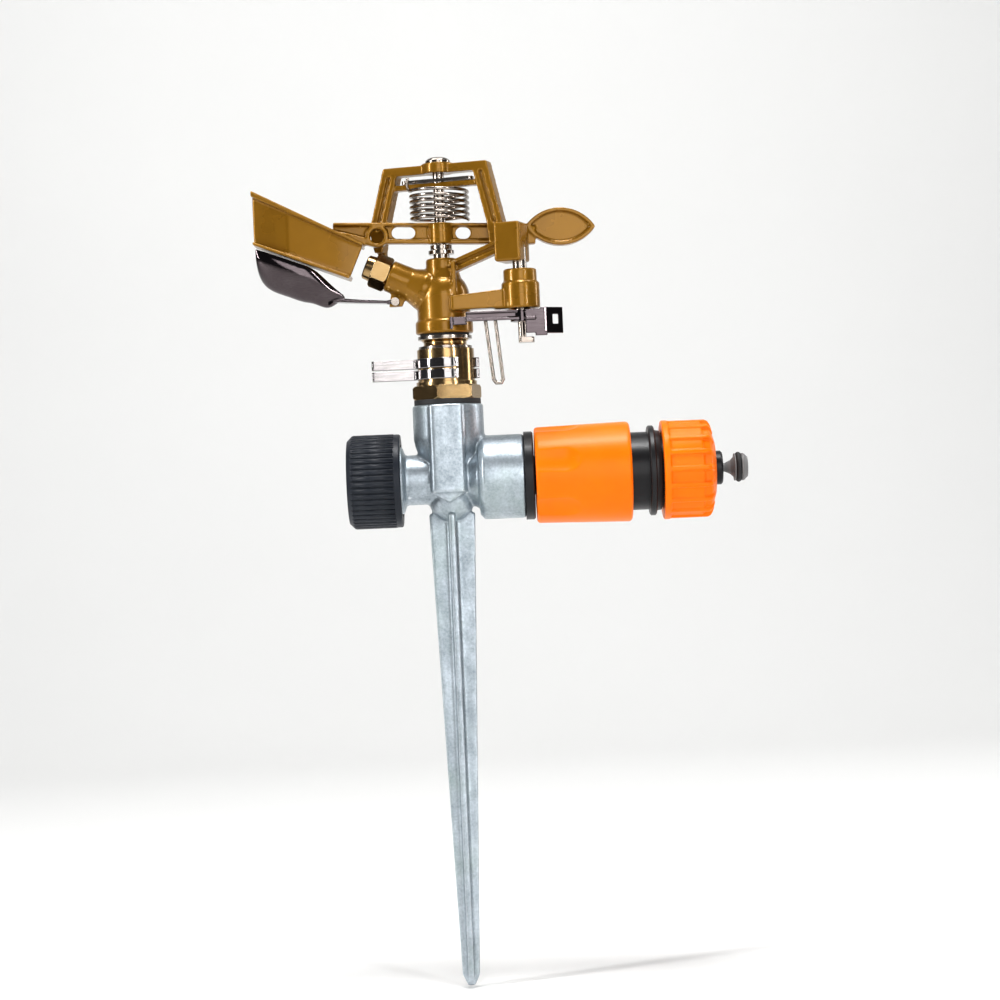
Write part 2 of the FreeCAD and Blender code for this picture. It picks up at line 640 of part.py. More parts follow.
def arm_ring(radius):
    """Disc of the ring at the beam's left end."""
    centre = V(ARM_RING_X, -ARM_HALF_DEPTH, ARM_RING_Z)
    return Part.makeCylinder(radius, 2 * ARM_HALF_DEPTH, centre, Y_AXIS)


def leaf_outline(half_length, half_height, y):
    """Pointed oval of two arcs, centred on the origin, in a plane of constant depth."""
    right = V(half_length, y, 0)
    left = V(-half_length, y, 0)
    upper = Part.Arc(left, V(0, y, half_height), right).toShape()
    lower = Part.Arc(right, V(0, y, -half_height), left).toShape()
    return Part.Face(Part.Wire([upper, lower]))


def leaf_weight():
    """Leaf-shaped counterweight with a raised rim and a recessed face on both sides."""
    blade = leaf_outline(12.6, 6.75, -2.6).extrude(V(0, 5.2, 0))
    for y0, depth in ((-3.6, 1.9), (1.7, 1.9)):
        blade = blade.cut(leaf_outline(10.9, 5.5, y0).extrude(V(0, depth, 0)))
    blade.translate(V(LEAF_X, 0, LEAF_Z))
    return sloped(blade, LEAF_X, LEAF_Z)


def vane_line(side, x):
    """Height of the vane's upper (1) or lower (-1) edge at an x."""
    x0, z0 = jet_point(VANE_START, side * VANE_HALF_HEIGHT)
    end = VANE_END_TOP if side > 0 else VANE_END_BOTTOM
    return z0 + (end - z0) * (x0 - x) / (x0 - VANE_LEFT)


def vane_outline():
    top = jet_point(VANE_START, VANE_HALF_HEIGHT)
    bottom = jet_point(VANE_START, -VANE_HALF_HEIGHT)
    return [top, bottom, (VANE_LEFT, VANE_END_BOTTOM), (VANE_LEFT, VANE_END_TOP)]


def vane():
    """Channel that catches the jet: web in front, a flange above and below, open to the back."""
    outer = plate(vane_outline(), VANE_FRONT, VANE_BACK)
    top, bottom, low_left, high_left = vane_outline()
    w = VANE_WALL
    inside = [(top[0] + 5, top[1] - 2.2 - w), (bottom[0] + 5, bottom[1] - 1.9 + w),
              (low_left[0] - 5, low_left[1] + 1.9 + w), (high_left[0] - 5, high_left[1] + 1.6 - w)]
    channel = outer.cut(plate(inside, VANE_FRONT + w, VANE_BACK + 5))
    # the last stretch of the web is bent back across the jet
    kick_start = VANE_LEFT + KICK_LENGTH
    kick = slab([(VANE_LEFT, VANE_FRONT + w), (kick_start, VANE_FRONT + w),
                 (VANE_LEFT, VANE_FRONT + w + 5.0)],
                90, 130)
    face = slab([(VANE_LEFT - 1, VANE_FRONT - 1), (kick_start, VANE_FRONT),
                 (VANE_LEFT - 1, VANE_FRONT + 4.2)],
                90, 130)
    return channel.fuse(kick.common(outer)).cut(face).fuse(vane_lips())


def vane_lips():
    """Narrow lips along the vane's top and bottom edges, standing proud of the web in front."""
    outer = plate(vane_outline(), VANE_FRONT - LIP_PROUD, VANE_FRONT + 4.4)
    top, bottom, low_left, high_left = vane_outline()
    w = LIP_THICKNESS
    between = [(top[0] + 5, top[1] - 2.2 - w), (bottom[0] + 5, bottom[1] - 1.9 + w),
               (low_left[0] - 5, low_left[1] + 1.9 + w), (high_left[0] - 5, high_left[1] + 1.6 - w)]
    return outer.cut(plate(between, VANE_FRONT - LIP_PROUD - 1, VANE_BACK + 5))


def vane_gusset():
    """Sloping flange and thin web that carry the vane up into the arm's ring."""
    top = jet_point(VANE_START, VANE_HALF_HEIGHT)
    foot = top[0] - 12
    flange = plate([(foot, vane_line(1, foot)), (-20.5, 101.4), (-20.5, 99.9), (-24.5, 99.9),
                    (foot, vane_line(1, foot) - 2.0)], -ARM_HALF_DEPTH, ARM_HALF_DEPTH)
    web = plate([(-38.6, beam_top(-38.6) - 0.5), (-24.0, beam_top(-24.0) - 0.5), (-24.0, 100.5), top,
                 (-38.6, vane_line(1, -38.6) - 1.0)], -0.9, 0.9)
    return flange.fuse(web)


def impact_arm():
    hub = cylinder(HUB_RADIUS, ARM_BOTTOM, ARM_TOP)
    arm = fused(arm_beam(), arm_tail(), arm_ring(4.0), hub, leaf_weight(), vane(), vane_gusset())
    return arm.cut(arm_ring(2.6)).cut(cylinder(BUSH_RADIUS, ARM_BOTTOM - 1, ARM_TOP + 1))


def arm_bushing():
    return washer(BUSH_RADIUS, PIN_RADIUS + RUN, ARM_BOTTOM, ARM_TOP)


# ---------------------------------------------------------------- deflector

def scoop_section(x, y_half, top, depth):
    """U-shaped section of the scoop at an x: two rims and a round bottom."""
    a = V(x, -y_half, top)
    b = V(x, -y_half * 0.86, top - depth * 0.62)
    c = V(x, 0, top - depth)
    d = V(x, y_half * 0.86, top - depth * 0.62)
    e = V(x, y_half, top)
    curve = Part.BSplineCurve()
    curve.interpolate([a, b, c, d, e])
    return Part.Wire([curve.toShape(), Part.LineSegment(e, a).toShape()])


def scoop(shrink, lift):
    """Solid scoop; the shell is the difference between the full size and a smaller, raised one."""
    stations = [(-66.2, 6.8, 100.2, 7.0), (-65.0, 7.3, 99.8, 10.5), (-62.0, 7.9, 98.7, 12.7),
                (-56.0, 8.0, 96.4, 13.1), (-50.0, 7.6, 94.1, 13.0), (-45.0, 6.6, 91.6, 11.9),
                (-41.4, 5.4, 88.2, 9.5), (-38.4, 4.4, 85.2, 5.2), (-35.6, 3.4, 82.8, 2.0)]
    wires = []
    for x, y_half, top, depth in stations:
        inner_depth = max(depth - shrink, 0.2)
        wires.append(scoop_section(x, y_half - shrink, top + lift, inner_depth + lift))
    return Part.makeLoft(wires, True)


def deflector():
    """Pressed scoop under the vane, on a flat strip that hinges below the barrel."""
    bowl = scoop(0, 0).cut(scoop(SCOOP_SHEET, 0.6))
    strip = plate([(-40.5, 80.6), (-31.0, 79.9), (-19.0, 79.2), (-19.0, 80.1), (-31.0, 81.1), (-40.5, 82.2)],
                  -3.0, 3.0)
    cheeks = []
    for y0, y1 in ((-2.8, -1.8), (1.8, 2.8)):
        cheek = plate([(-20.5, 79.4), (-16.0, 78.2), (-15.6, 79.4), (-16.0, 81.0), (-20.5, 80.2)], y0, y1)
        cheeks.append(cheek)
    slot = box(-20.2, -10, -1.8, 1.8, 70, 90)
    strip = strip.cut(slot).cut(scoop(SCOOP_SHEET, 0.6))
    return fused(bowl, strip, *cheeks).cut(hinge_rod(RIVET_RADIUS + RUN, 5.0))


def rivet_head(y0, y1):
    return rod(1.5, V(DEFLECTOR_X, y0, DEFLECTOR_Z), V(DEFLECTOR_X, y1, DEFLECTOR_Z))


def deflector_rivet():
    return fused(hinge_rod(RIVET_RADIUS, 3.1), rivet_head(-3.9, -3.1), rivet_head(3.1, 3.9))


# ---------------------------------------------------------------- trip mechanism

def trip_pin():
    """Pin from the stop block down through the boss, with a keeper plate riveted to its thin foot."""
    shank = cylinder(TRIP_PIN_RADIUS, TRIP_LIP_BOTTOM - 0.6, TRIP_PIN_TOP, TRIP_X, TRIP_Y)
    neck = cylinder(TRIP_NECK_RADIUS, TRIP_FOOT, TRIP_LIP_BOTTOM, TRIP_X, TRIP_Y)
    keeper = box(TRIP_X - 1.4, TRIP_X + 4.2, TRIP_Y - 2.6, TRIP_Y + 2.6, TRIP_FOOT, TRIP_FOOT + 1.9)
    keeper = round_edges(keeper, 1.0, is_upright)
    return fused(shank, neck, keeper)


def trip_lever():
    """Bent sheet lever on the trip pin, with a lip along its front edge and a hook at its left end."""
    front = TRIP_Y - 3.4
    back = TRIP_Y + 3.0
    blade = slab([(8.0, front), (34.0, front), (34.0, back), (16.0, back), (8.0, TRIP_Y - 0.6)],
                 TRIP_PLATE_BOTTOM, TRIP_PLATE_TOP)
    lip = box(8.0, 30.0, front, front + 0.6, TRIP_LIP_BOTTOM, TRIP_PLATE_BOTTOM)
    bead = box(8.0, 30.0, front - 0.5, front + 0.6, TRIP_LIP_BOTTOM, TRIP_LIP_BOTTOM + 1.0)
    edge = box(8.0, 34.0, front - 0.4, front, TRIP_PLATE_TOP - 0.8, TRIP_PLATE_TOP)
    hook = fused(box(2.2, 8.2, front, front + 1.0, 69.6, 72.4),
                 box(2.2, 3.4, front - 1.4, front + 1.0, 68.2, 72.4))
    hub = cylinder(4.0, TRIP_LIP_BOTTOM - 0.6, TRIP_PLATE_TOP, TRIP_X, TRIP_Y)
    lever = fused(blade, lip, bead, edge, hook, hub)
    return lever.cut(cylinder(TRIP_PIN_RADIUS + RUN, 60, 80, TRIP_X, TRIP_Y))


def trip_bracket():
    """Folded sheet at the lever's right end, with a rounded corner and a window in its outer panel."""
    t = 1.0
    front = TRIP_Y - 6.0
    panel = box(29.0, 35.0, front, front + t, 65.6, TRIP_PLATE_TOP)
    foot = box(28.4, 34.0, front + t, TRIP_Y - 3.8, TRIP_PLATE_BOTTOM + 0.1, TRIP_PLATE_TOP)
    tab = box(29.2, 32.7, front - 0.6, front, 70.3, 71.3)
    lip = box(32.4, 36.6, front, front + 2.2, 64.6, 65.8)
    outer = slab([(34.4, front), (35.6, front), (36.6, front + 0.3), (37.4, front + 0.9), (42.4, front + 3.7),
                  (41.8, front + 4.7), (36.4, front + 1.7), (35.2, front + t), (34.4, front + t)], 65.3, 74.5)
    window = box(38.7, 40.6, front - 3, front + 8, 68.6, 72.0)
    return fused(panel, foot, tab, lip, outer.cut(window))


def trip_wire():
    """Hairpin that hangs beside the collars; a stop tab pushes it and throws the lever over."""
    y = TRIP_Y - 1.0
    top = TRIP_PLATE_BOTTOM
    bend = TRIP_WIRE_BOTTOM + 1.9
    left = [V(14.7, y, top), V(17.0, y, bend)]
    right = [V(20.3, y, bend), V(18.2, y, top)]
    bottom = [V(17.9, y, TRIP_WIRE_BOTTOM + 0.65), V(19.6, y, TRIP_WIRE_BOTTOM + 0.65)]
    return bent_wire([left[0], left[1], bottom[0], bottom[1], right[0], right[1]], TRIP_WIRE_RADIUS)


def trip_spring():
    """Torsion spring round the trip pin, in a pocket of the boss."""
    return coil(3.65, 0.9, 1.4, 7, TRIP_BOSS_BOTTOM + 0.6, TRIP_X, TRIP_Y)


# ---------------------------------------------------------------- hose adapter and connector

def hose_adapter():
    profile = [(13.6, 5.0), (13.6, ADAPTER_THREAD - 0.8), (14.4, ADAPTER_THREAD), (STUB_END, ADAPTER_THREAD),
               (STUB_END, ADAPTER_FLANGE_RADIUS), (ADAPTER_FLANGE_END - 0.5, ADAPTER_FLANGE_RADIUS),
               (ADAPTER_FLANGE_END, ADAPTER_FLANGE_RADIUS - 0.5), (ADAPTER_FLANGE_END, NOSE_NECK_RADIUS),
               (36.2, NOSE_NECK_RADIUS), (37.2, NOSE_SHOULDER_RADIUS), (40.4, NOSE_SHOULDER_RADIUS),
               (41.2, NOSE_RADIUS), (46.0, NOSE_RADIUS), (46.0, 6.4), (48.2, 6.4), (48.2, NOSE_RADIUS),
               (NOSE_END - 1.5, NOSE_RADIUS), (NOSE_END, 6.6), (NOSE_END, 5.0)]
    return lathe_x(profile)


def adapter_washer():
    return tube_x(12.6, 8.0, 12.4, 13.6)


def ring_x(mid_radius, wire_radius, x):
    """O-ring about the hose axis."""
    return Part.makeTorus(mid_radius, wire_radius, V(x, 0, TEE_HEIGHT), X_AXIS)


def adapter_o_ring():
    return ring_x(7.5, 1.1, 47.1)


def claw_slice(start, width, x0, x1, inner, outer):
    """Ring segment about the hose axis between two angles."""
    ring = Part.makeCylinder(outer, x1 - x0, V(x0, 0, TEE_HEIGHT), X_AXIS, width)
    ring = ring.cut(cylinder_x(inner, x0 - 1, x1 + 1))
    return about_hose(ring, start)


def connector_core():
    profile = [(CORE_START, CORE_SOCKET), (CORE_START, CORE_RADIUS - 0.6), (CORE_START + 0.6, CORE_RADIUS),
               (GROOVE_START, CORE_RADIUS), (GROOVE_START, CORE_GROOVE_RADIUS),
               (GROOVE_END, CORE_GROOVE_RADIUS),
               (GROOVE_END, CORE_RADIUS), (COLLAR_FLANGE_START, CORE_RADIUS),
               (COLLAR_FLANGE_START, COLLAR_FLANGE_RADIUS - 0.4),
               (COLLAR_FLANGE_START + 0.4, COLLAR_FLANGE_RADIUS),
               (COLLAR_FLANGE_END - 0.4, COLLAR_FLANGE_RADIUS),
               (COLLAR_FLANGE_END, COLLAR_FLANGE_RADIUS - 0.4),
               (COLLAR_FLANGE_END, 14.6), (75.4, 14.2), (75.6, 12.9), (84.0, 12.9),
               (84.0, 11.0), (80.0, 10.6),
               (80.0, TAIL_RADIUS), (TAIL_END - 0.6, TAIL_RADIUS), (TAIL_END, TAIL_RADIUS - 0.6),
               (TAIL_END, TAIL_BORE), (62.0, TAIL_BORE), (60.5, 6.2), (53.6, 6.2), (53.6, CORE_SOCKET)]
    core = lathe_x(profile)
    for i in range(3):
        core = core.cut(claw_slice(120 * i, 52, 33.4, 36.0, CORE_SOCKET - 0.5, CORE_RADIUS + 1))
    return core


def retaining_claws():
    """Three claws that close behind the adapter's shoulder."""
    claws = [claw_slice(120 * i + 2, 48, 33.6, 35.8, 7.4, 13.8) for i in range(3)]
    return Part.makeCompound(claws)


def sleeve_spring():
    spring = coil(12.75, 1.0, 2.6, 11, 0)
    spring.rotate(V(0, 0, 0), Y_AXIS, 90)
    spring.translate(V(46.9, 0, TEE_HEIGHT))
    return spring


def connector_sleeve():
    """Sliding sleeve, slightly conical, with shallow finger scallops round its adapter end."""
    sleeve = lathe_x([(SLEEVE_START, SLEEVE_BORE), (SLEEVE_START, SLEEVE_SMALL - 0.7),
                      (SLEEVE_START + 0.7, SLEEVE_SMALL), (SLEEVE_END - 0.8, SLEEVE_LARGE),
                      (SLEEVE_END, SLEEVE_LARGE - 0.8), (SLEEVE_END, SLEEVE_BORE), (46.3, SLEEVE_BORE),
                      (46.3, 12.0), (44.3, 12.0), (44.3, SLEEVE_BORE)])
    grip_radius = 13.0
    grip_end = 40.6
    finger = Part.makeCylinder(grip_radius, 30, V(grip_end - 30, 0, 0), X_AXIS)
    finger = finger.fuse(ball(grip_radius, V(grip_end, 0, 0)))
    finger.translate(V(0, 0, TEE_HEIGHT + SLEEVE_SMALL - 1.1 + grip_radius))
    for i in range(SLEEVE_GRIPS):
        sleeve = sleeve.cut(about_hose(finger, 60 * i + 13))
    return sleeve


def collet_nut():
    """Nut that squeezes the grip ring onto the hose: a plain rim, then ribs with pockets between."""
    floor = NUT_RADIUS - NUT_POCKET
    shell = lathe_x([(NUT_START, 13.25), (NUT_START, NUT_RADIUS - 0.3), (NUT_START + 0.4, NUT_RADIUS),
                     (NUT_START + 2.3, NUT_RADIUS), (NUT_START + 2.5, floor), (NUT_END - 5.0, floor),
                     (NUT_END - 4.8, floor - 0.5), (NUT_END - 2.4, floor - 0.8), (NUT_END - 1.6, floor - 1.9),
                     (NUT_END, 9.9), (NUT_END, 9.4), (NUT_END - 1.5, 9.4), (NUT_END - 8.0, 13.25)])
    rib_shape = lathe_x([(NUT_START + 2.0, 14.0), (NUT_START + 2.0, NUT_RADIUS - 0.1),
                         (NUT_END - 3.4, NUT_RADIUS - 0.1), (NUT_END - 2.2, NUT_RADIUS - 0.7),
                         (NUT_END - 1.4, NUT_RADIUS - 2.0), (NUT_END - 0.8, 14.0)])
    ribs = []
    for i in range(NUT_RIBS):
        blade = box(NUT_START, NUT_END, -NUT_RIB_WIDTH / 2, NUT_RIB_WIDTH / 2,
                    TEE_HEIGHT + 14.2, TEE_HEIGHT + NUT_RADIUS + 1)
        ribs.append(about_hose(blade, 360 * (i + 0.5) / NUT_RIBS))
    return shell.fuse(Part.makeCompound(ribs).common(rib_shape)).removeSplitter()


def hose_grip_ring():
    """Split collet of fingers inside the nut's cone."""
    ring = lathe_x([(84.4, 9.3), (84.4, 12.6), (87.0, 12.6), (92.6, 9.6), (92.6, 8.9)])
    slit = box(86.4, 93, -0.6, 0.6, TEE_HEIGHT, TEE_HEIGHT + 14)
    for i in range(6):
        ring = ring.cut(about_hose(slit, 60 * i))
    return ring


def stop_plunger():
    """Stop valve: guide ribs in the bore, a thin stem and a flared disc outside the tail."""
    head = lathe_x([(PLUNGER_START, 0), (PLUNGER_START, 4.4), (PLUNGER_START + 2, 4.4),
                    (PLUNGER_START + 2, 0)])
    stem = cylinder_x(PLUNGER_STEM, PLUNGER_START, PLUNGER_DISC)
    flare = lathe_x([(98.6, 0), (98.6, PLUNGER_STEM), (100.6, 2.5), (PLUNGER_DISC, 3.9), (PLUNGER_DISC, 0)])
    disc = lathe_x([(PLUNGER_DISC, 0), (PLUNGER_DISC, PLUNGER_DISC_RADIUS), (102.5, PLUNGER_DISC_RADIUS),
                    (102.5, O_RING_SEAT), (104.6, O_RING_SEAT), (104.6, PLUNGER_DISC_RADIUS),
                    (105.4, PLUNGER_DISC_RADIUS), (PLUNGER_END, 3.6), (PLUNGER_END, 0)])
    rib = box(66.0, 96.0, -0.5, 0.5, TEE_HEIGHT, TEE_HEIGHT + TAIL_BORE - 0.2)
    ribs = [about_hose(rib, 90 * i) for i in range(4)]
    valve = fused(head, stem, flare, disc, *ribs)
    port = cylinder_x(0.9, PLUNGER_START - 1, PLUNGER_START + 3)
    port.translate(V(0, 0, 2.9))
    for i in range(4):
        valve = valve.cut(about_hose(port, 90 * i + 45))
    return valve


def plunger_o_ring():
    return ring_x(4.45, 0.95, 103.55)


# ---------------------------------------------------------------- export

NODES = {
    "spike_base": spike_base,
    "end_cap": end_cap,
    "end_cap_washer": end_cap_washer,
    "bearing_nipple": bearing_nipple,
    "nipple_gasket": nipple_gasket,
    "bearing_tube": bearing_tube,
    "thrust_washer": thrust_washer,
    "thrust_seal": thrust_seal,
    "bearing_spring": bearing_spring,
    "lower_washer": lower_washer,
    "neck_spacer": neck_spacer,
    "upper_washer": upper_washer,
    "dust_seal": dust_seal,
    "lower_collar": lambda: stop_collar(LOWER_COLLAR_HEIGHT),
    "upper_collar": lambda: stop_collar(UPPER_COLLAR_HEIGHT),
    "head_casting": head_casting,
    "nozzle": nozzle,
    "fulcrum_pin": fulcrum_pin,
    "pin_cap": pin_cap,
    "pin_spacer": pin_spacer,
    "spring_retainer": spring_retainer,
    "arm_spring": arm_spring,
    "impact_arm": impact_arm,
    "arm_bushing": arm_bushing,
    "deflector": deflector,
    "deflector_rivet": deflector_rivet,
    "trip_pin": trip_pin,
    "trip_lever": trip_lever,
    "trip_bracket": trip_bracket,
    "trip_wire": trip_wire,
    "trip_spring": trip_spring,
    "hose_adapter": hose_adapter,
    "adapter_washer": adapter_washer,
    "adapter_o_ring": adapter_o_ring,
    "connector_core": connector_core,
    "retaining_claws": retaining_claws,
    "sleeve_spring": sleeve_spring,
    "connector_sleeve": connector_sleeve,
    "collet_nut": collet_nut,
    "hose_grip_ring": hose_grip_ring,
    "stop_plunger": stop_plunger,
    "plunger_o_ring": plunger_o_ring,
}

os.makedirs("parts", exist_ok=True)
for name, make in NODES.items():
    shape = make()
    shape.exportStep(os.path.join("parts", name + ".step"))
    print(name, shape.isValid(), len(shape.Solids), round(shape.Volume, 1))
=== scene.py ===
import bpy
import bmesh
import json
import math
from mathutils import Matrix, Vector

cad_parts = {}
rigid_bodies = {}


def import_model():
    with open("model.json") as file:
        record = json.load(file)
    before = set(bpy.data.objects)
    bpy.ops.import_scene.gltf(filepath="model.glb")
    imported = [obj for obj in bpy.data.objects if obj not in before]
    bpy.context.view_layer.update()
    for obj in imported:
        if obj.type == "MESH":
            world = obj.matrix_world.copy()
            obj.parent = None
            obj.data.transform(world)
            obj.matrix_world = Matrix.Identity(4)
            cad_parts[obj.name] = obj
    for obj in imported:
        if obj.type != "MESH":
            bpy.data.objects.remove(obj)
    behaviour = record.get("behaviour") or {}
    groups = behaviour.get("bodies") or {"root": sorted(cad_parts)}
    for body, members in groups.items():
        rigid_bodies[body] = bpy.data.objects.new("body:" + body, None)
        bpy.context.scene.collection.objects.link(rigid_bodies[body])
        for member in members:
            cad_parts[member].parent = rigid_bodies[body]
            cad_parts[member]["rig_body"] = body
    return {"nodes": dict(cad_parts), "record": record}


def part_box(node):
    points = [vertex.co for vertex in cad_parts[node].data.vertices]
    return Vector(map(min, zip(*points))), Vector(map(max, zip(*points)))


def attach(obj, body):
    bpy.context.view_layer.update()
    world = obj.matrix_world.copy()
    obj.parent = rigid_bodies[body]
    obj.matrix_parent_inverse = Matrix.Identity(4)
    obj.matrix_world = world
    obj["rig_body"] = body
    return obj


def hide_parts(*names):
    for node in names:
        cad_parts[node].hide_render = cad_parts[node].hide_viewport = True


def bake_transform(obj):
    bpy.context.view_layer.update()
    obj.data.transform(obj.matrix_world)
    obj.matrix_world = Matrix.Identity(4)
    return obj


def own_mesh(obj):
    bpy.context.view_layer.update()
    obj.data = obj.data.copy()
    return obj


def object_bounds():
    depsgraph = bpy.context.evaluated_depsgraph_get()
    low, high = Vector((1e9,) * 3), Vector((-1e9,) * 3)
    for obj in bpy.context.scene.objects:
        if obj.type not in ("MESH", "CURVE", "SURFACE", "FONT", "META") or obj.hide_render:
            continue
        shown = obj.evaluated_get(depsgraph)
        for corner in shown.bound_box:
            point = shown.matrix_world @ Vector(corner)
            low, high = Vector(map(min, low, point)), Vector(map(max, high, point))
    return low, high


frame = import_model()
cadLow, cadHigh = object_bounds()
scene = bpy.context.scene
mm = 0.001
hoseAxis = (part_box("hose_adapter")[0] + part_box("hose_adapter")[1]) / 2  # a point on the hose axis
print("frame loaded:", len(frame["nodes"]), "parts")


# node helpers

def addNode(tree, kind, values=None, **settings):
    made = tree.nodes.new(kind)
    for name, value in settings.items():
        setattr(made, name, value)
    for name, value in (values or {}).items():
        made.inputs[name].default_value = value
    return made


def wire(tree, source, outName, target, inName):
    tree.links.new(source.outputs[outName], target.inputs[inName])


def startGroup(name, inputs, outputs, treeKind="ShaderNodeTree"):
    # a node tree with its sockets made, and the two nodes that hold them
    group = bpy.data.node_groups.new(name, treeKind)
    for socketName, kind, value in inputs:
        socket = group.interface.new_socket(socketName, in_out="INPUT", socket_type="NodeSocket" + kind)
        if value is not None:
            socket.default_value = value
    for socketName, kind in outputs:
        group.interface.new_socket(socketName, in_out="OUTPUT", socket_type="NodeSocket" + kind)
    return group, group.nodes.new("NodeGroupInput"), group.nodes.new("NodeGroupOutput")


def useGroup(tree, group, values=None):
    return addNode(tree, "ShaderNodeGroup", values, node_tree=group)


# shared surface effects

def buildWornEdges():
    # mask of the convex edges, broken up so that the wear is uneven, and the softened normal
    group, source, result = startGroup(
        "worn edges",
        [("Radius", "Float", 0.0004), ("Reach", "Float", 5.0), ("Patch Scale", "Float", 400.0)],
        [("Mask", "Float"), ("Normal", "Vector")])
    bevel = addNode(group, "ShaderNodeBevel", samples=6)
    geometry = addNode(group, "ShaderNodeNewGeometry")
    dot = addNode(group, "ShaderNodeVectorMath", operation="DOT_PRODUCT")
    turn = addNode(group, "ShaderNodeMath", {0: 1.0}, operation="SUBTRACT")
    gain = addNode(group, "ShaderNodeMath", operation="MULTIPLY", use_clamp=True)
    place = addNode(group, "ShaderNodeTexCoord")
    patches = addNode(group, "ShaderNodeTexNoise", {"Detail": 4.0, "Roughness": 0.65})
    spread = addNode(group, "ShaderNodeMapRange", {"From Min": 0.36, "From Max": 0.62})
    both = addNode(group, "ShaderNodeMath", operation="MULTIPLY", use_clamp=True)
    wire(group, source, "Radius", bevel, "Radius")
    wire(group, bevel, "Normal", dot, 0)
    wire(group, geometry, "Normal", dot, 1)
    wire(group, dot, "Value", turn, 1)
    wire(group, turn, "Value", gain, 0)
    wire(group, source, "Reach", gain, 1)
    wire(group, place, "Object", patches, "Vector")
    wire(group, source, "Patch Scale", patches, "Scale")
    wire(group, patches, "Fac", spread, "Value")
    wire(group, gain, "Value", both, 0)
    wire(group, spread, "Result", both, 1)
    wire(group, both, "Value", result, "Mask")
    wire(group, bevel, "Normal", result, "Normal")
    return group


def buildFineGrain():
    # small even texture of a moulded or cast skin, with a slower tone drift
    group, source, result = startGroup(
        "fine grain",
        [("Grain Scale", "Float", 2500.0), ("Drift Scale", "Float", 120.0)],
        [("Height", "Float"), ("Tone", "Float")])
    place = addNode(group, "ShaderNodeTexCoord")
    grain = addNode(group, "ShaderNodeTexNoise", {"Detail": 5.0, "Roughness": 0.6})
    drift = addNode(group, "ShaderNodeTexNoise", {"Detail": 3.0, "Roughness": 0.5})
    for texture, name in ((grain, "Grain Scale"), (drift, "Drift Scale")):
        wire(group, place, "Object", texture, "Vector")
        wire(group, source, name, texture, "Scale")
    wire(group, grain, "Fac", result, "Height")
    wire(group, drift, "Fac", result, "Tone")
    return group


def buildScratches():
    # sparse hairlines, longer in the direction that is scaled down
    group, source, result = startGroup(
        "hairline scratches",
        [("Stretch", "Vector", (1.0, 1.0, 0.03)), ("Scale", "Float", 2600.0), ("Threshold", "Float", 0.6)],
        [("Mask", "Float")])
    place = addNode(group, "ShaderNodeTexCoord")
    pull = addNode(group, "ShaderNodeVectorMath", operation="MULTIPLY")
    lines = addNode(group, "ShaderNodeTexNoise", {"Detail": 2.0, "Roughness": 0.4, "Distortion": 0.15})
    cut = addNode(group, "ShaderNodeMapRange", {"From Max": 0.85})
    wire(group, place, "Object", pull, 0)
    wire(group, source, "Stretch", pull, 1)
    wire(group, pull, "Vector", lines, "Vector")
    wire(group, source, "Scale", lines, "Scale")
    wire(group, lines, "Fac", cut, "Value")
    wire(group, source, "Threshold", cut, "From Min")
    wire(group, cut, "Result", result, "Mask")
    return group


def buildDust():
    # thin film on what faces up, thicker in patches
    group, source, result = startGroup("settled dust", [("Amount", "Float", 0.2)], [("Mask", "Float")])
    geometry = addNode(group, "ShaderNodeNewGeometry")
    split = addNode(group, "ShaderNodeSeparateXYZ")
    facing = addNode(group, "ShaderNodeMapRange", {"From Min": 0.2, "From Max": 1.0})
    place = addNode(group, "ShaderNodeTexCoord")
    cloud = addNode(group, "ShaderNodeTexNoise", {"Scale": 260.0, "Detail": 6.0, "Roughness": 0.7})
    patchy = addNode(group, "ShaderNodeMapRange", {"From Min": 0.42, "From Max": 0.75})
    both = addNode(group, "ShaderNodeMath", operation="MULTIPLY")
    amount = addNode(group, "ShaderNodeMath", operation="MULTIPLY", use_clamp=True)
    wire(group, geometry, "Normal", split, "Vector")
    wire(group, split, "Z", facing, "Value")
    wire(group, place, "Object", cloud, "Vector")
    wire(group, cloud, "Fac", patchy, "Value")
    wire(group, facing, "Result", both, 0)
    wire(group, patchy, "Result", both, 1)
    wire(group, both, "Value", amount, 0)
    wire(group, source, "Amount", amount, 1)
    wire(group, amount, "Value", result, "Mask")
    return group


wornEdges = buildWornEdges()
fineGrain = buildFineGrain()
scratches = buildScratches()
dustFilm = buildDust()
print("shared effects built")


# materials

def startMaterial(name, fixed):
    material = bpy.data.materials.new(name)
    material.use_nodes = True
    shader = material.node_tree.nodes["Principled BSDF"]
    for socket, value in fixed.items():
        shader.inputs[socket].default_value = value
    return material, material.node_tree, shader


mixFactor, mixFirst, mixSecond, mixResult = 0, 6, 7, 2  # where a colour mix keeps its sockets


def mixColour(tree, mask, maskName, dark, light):
    # each colour is plain rgb or another colour mix
    mix = addNode(tree, "ShaderNodeMix", data_type="RGBA")
    wire(tree, mask, maskName, mix, mixFactor)
    for socket, colour in ((mixFirst, dark), (mixSecond, light)):
        if isinstance(colour, tuple):
            mix.inputs[socket].default_value = (*colour, 1.0)
        else:
            wire(tree, colour, mixResult, mix, socket)
    return mix


def paintColour(tree, mix, shader):
    wire(tree, mix, mixResult, shader, "Base Color")


def roughnessFrom(tree, source, outName, shader, low, high):
    spread = addNode(tree, "ShaderNodeMapRange", {"To Min": low, "To Max": high})
    wire(tree, source, outName, spread, "Value")
    wire(tree, spread, "Result", shader, "Roughness")


def bumpFrom(tree, source, outName, shader, strength, distance, under=None):
    bump = addNode(tree, "ShaderNodeBump", {"Strength": strength, "Distance": distance})
    wire(tree, source, outName, bump, "Height")
    if under is not None:
        wire(tree, under, "Normal", bump, "Normal")
    wire(tree, bump, "Normal", shader, "Normal")


